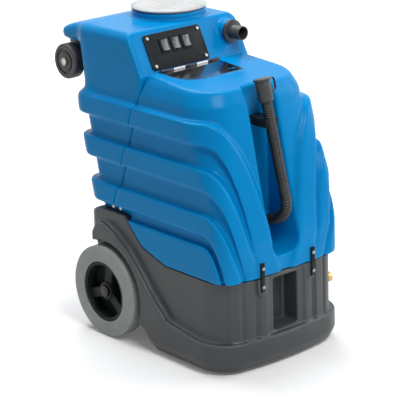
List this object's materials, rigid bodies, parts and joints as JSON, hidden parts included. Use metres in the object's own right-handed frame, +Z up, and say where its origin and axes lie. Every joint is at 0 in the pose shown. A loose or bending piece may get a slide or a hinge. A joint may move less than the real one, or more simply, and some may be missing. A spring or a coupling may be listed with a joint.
{
  "type": "portable carpet extractor",
  "caption": "Upright portable carpet cleaning machine: stacked moulded tanks on a wheeled base, with switch panel, lids, drain hose, loading wheels, pump and vacuum motors.",
  "frame": {"origin": "on the floor under the middle of the overall box", "axes": "+Z up, -Y towards the front with the drain hose, +X to the side with the vacuum inlet"},
  "size_m": [0.47, 0.72, 0.873],
  "materials": {
    "blue_plastic": "glossy moulded polyethylene",
    "grey_plastic": "satin moulded polyethylene",
    "steel_plate": "black powder coat",
    "clear_plastic": "frosted translucent polymer",
    "gasket_rubber": "soft black rubber",
    "black_plastic": "fine textured",
    "switch_plastic": "glossy",
    "screw_steel": "zinc plated",
    "polished_steel": "polished stainless",
    "cuff_plastic": "semi-soft grey vinyl",
    "hose_plastic": "ribbed black hose",
    "tyre_rubber": "grey non-marking rubber",
    "wheel_rubber": "hard dark rubber",
    "fork_steel": "zinc plated pressing",
    "coupler_brass": "turned brass",
    "motor_shell": "cast shell",
    "rotor_steel": "wound rotor and fan",
    "white_pipe": "white rigid pipe"
  },
  "bodies": {
    "machine": {"rear_tank": "blue_plastic", "front_tank": "blue_plastic", "base_housing": "grey_plastic", "chassis_plate": "steel_plate", "loading_brackets": "steel_plate", "caster_plates": "steel_plate", "lid_gasket": "gasket_rubber", "control_panel": "black_plastic", "switch_bezels": "black_plastic", "hose_clip": "black_plastic", "tank_straps": "black_plastic", "pump_body": "black_plastic", "power_inlet": "black_plastic", "panel_screws": "screw_steel", "tank_screws": "screw_steel", "strap_screws": "screw_steel", "hinge_pin": "screw_steel", "rear_axle": "screw_steel", "axle_caps": "screw_steel", "loading_axle": "screw_steel", "loading_caps": "screw_steel", "fill_hinge": "polished_steel", "hose_cuff": "cuff_plastic", "drain_spigot": "cuff_plastic", "vacuum_inlet": "cuff_plastic", "drain_hose": "hose_plastic", "coupler_body": "coupler_brass", "vacuum_motor_left": "motor_shell", "vacuum_motor_right": "motor_shell", "heater_box": "motor_shell", "standpipe": "white_pipe", "float_cage": "white_pipe"},
    "wheel_left": {"tyre_left": "tyre_rubber", "hub_left": "black_plastic"},
    "wheel_right": {"tyre_right": "tyre_rubber", "hub_right": "black_plastic"},
    "load_wheel_left": {"loading_wheel_left": "wheel_rubber"},
    "load_wheel_right": {"loading_wheel_right": "wheel_rubber"},
    "caster_left": {"caster_fork_left": "fork_steel", "caster_pin_left": "screw_steel"},
    "caster_right": {"caster_fork_right": "fork_steel", "caster_pin_right": "screw_steel"},
    "caster_roller_left": {"caster_wheel_left": "wheel_rubber"},
    "caster_roller_right": {"caster_wheel_right": "wheel_rubber"},
    "fill_cover": {"fill_lid": "polished_steel"},
    "recovery_cover": {"recovery_lid": "clear_plastic"},
    "switch_left": {"rocker_left": "switch_plastic"},
    "switch_middle": {"rocker_middle": "switch_plastic"},
    "switch_right": {"rocker_right": "switch_plastic"},
    "plug": {"drain_plug": "cuff_plastic", "plug_tether": "gasket_rubber"},
    "sleeve": {"coupler_sleeve": "coupler_brass"},
    "ball": {"float_ball": "white_pipe"},
    "rotor_left": {"vacuum_rotor_left": "rotor_steel"},
    "rotor_right": {"vacuum_rotor_right": "rotor_steel"},
    "pump_rotor": {"pump_shaft": "screw_steel"}
  },
  "joints": [
    {"name": "wheel_spin_left", "type": "hinge", "parent": "machine", "child": "wheel_left", "pos_m": [0, 0.125, 0.127], "axis": [1, 0, 0], "continuous": true},
    {"name": "load_wheel_spin_left", "type": "hinge", "parent": "machine", "child": "load_wheel_left", "pos_m": [0, 0.312, 0.724], "axis": [1, 0, 0], "continuous": true},
    {"name": "caster_swivel_left", "type": "hinge", "parent": "machine", "child": "caster_left", "pos_m": [-0.13, -0.2, 0.052], "axis": [0, 0, 1], "continuous": true},
    {"name": "caster_spin_left", "type": "hinge", "parent": "caster_left", "child": "caster_roller_left", "pos_m": [-0.13, -0.185, 0.022], "axis": [1, 0, 0], "continuous": true},
    {"name": "rotor_spin_left", "type": "hinge", "parent": "machine", "child": "rotor_left", "pos_m": [-0.085, -0.02, 0.06], "axis": [0, 0, 1], "continuous": true},
    {"name": "wheel_spin_right", "type": "hinge", "parent": "machine", "child": "wheel_right", "pos_m": [0, 0.125, 0.127], "axis": [1, 0, 0], "continuous": true},
    {"name": "load_wheel_spin_right", "type": "hinge", "parent": "machine", "child": "load_wheel_right", "pos_m": [0, 0.312, 0.724], "axis": [1, 0, 0], "continuous": true},
    {"name": "caster_swivel_right", "type": "hinge", "parent": "machine", "child": "caster_right", "pos_m": [0.13, -0.2, 0.052], "axis": [0, 0, 1], "continuous": true},
    {"name": "caster_spin_right", "type": "hinge", "parent": "caster_right", "child": "caster_roller_right", "pos_m": [0.13, -0.185, 0.022], "axis": [1, 0, 0], "continuous": true},
    {"name": "rotor_spin_right", "type": "hinge", "parent": "machine", "child": "rotor_right", "pos_m": [0.085, -0.02, 0.06], "axis": [0, 0, 1], "continuous": true},
    {"name": "pump_spin", "type": "hinge", "parent": "machine", "child": "pump_rotor", "pos_m": [-0.085, -0.18, 0.096], "axis": [1, 0, 0], "continuous": true},
    {"name": "fill_hinge_turn", "type": "hinge", "parent": "machine", "child": "fill_cover", "pos_m": [0, -0.03635, 0.74496], "axis": [-1, 0, 0], "range_deg": [0, 100]},
    {"name": "recovery_lift", "type": "slide", "parent": "machine", "child": "recovery_cover", "axis": [0, 0, 1], "range_m": [0, 0.12]},
    {"name": "rocker_left_tilt", "type": "hinge", "parent": "machine", "child": "switch_left", "pos_m": [-0.08, 0.01632, 0.79639], "axis": [1, 0, 0], "range_deg": [-8, 8]},
    {"name": "rocker_middle_tilt", "type": "hinge", "parent": "machine", "child": "switch_middle", "pos_m": [-0.044, 0.01632, 0.79639], "axis": [1, 0, 0], "range_deg": [-8, 8]},
    {"name": "rocker_right_tilt", "type": "hinge", "parent": "machine", "child": "switch_right", "pos_m": [-0.008, 0.01632, 0.79639], "axis": [1, 0, 0], "range_deg": [-8, 8]},
    {"name": "plug_pull", "type": "slide", "parent": "machine", "child": "plug", "axis": [-0.0451, 0.2088, 0.9769], "range_m": [0, 0.04], "deforming": ["plug_tether"]},
    {"name": "sleeve_draw", "type": "slide", "parent": "machine", "child": "sleeve", "axis": [-1, 0, 0], "range_m": [0, 0.005], "stiffness_N_per_m": 400},
    {"name": "float_lift", "type": "slide", "parent": "machine", "child": "ball", "axis": [0, 0, 1], "range_m": [0, 0.055]}
  ]
}
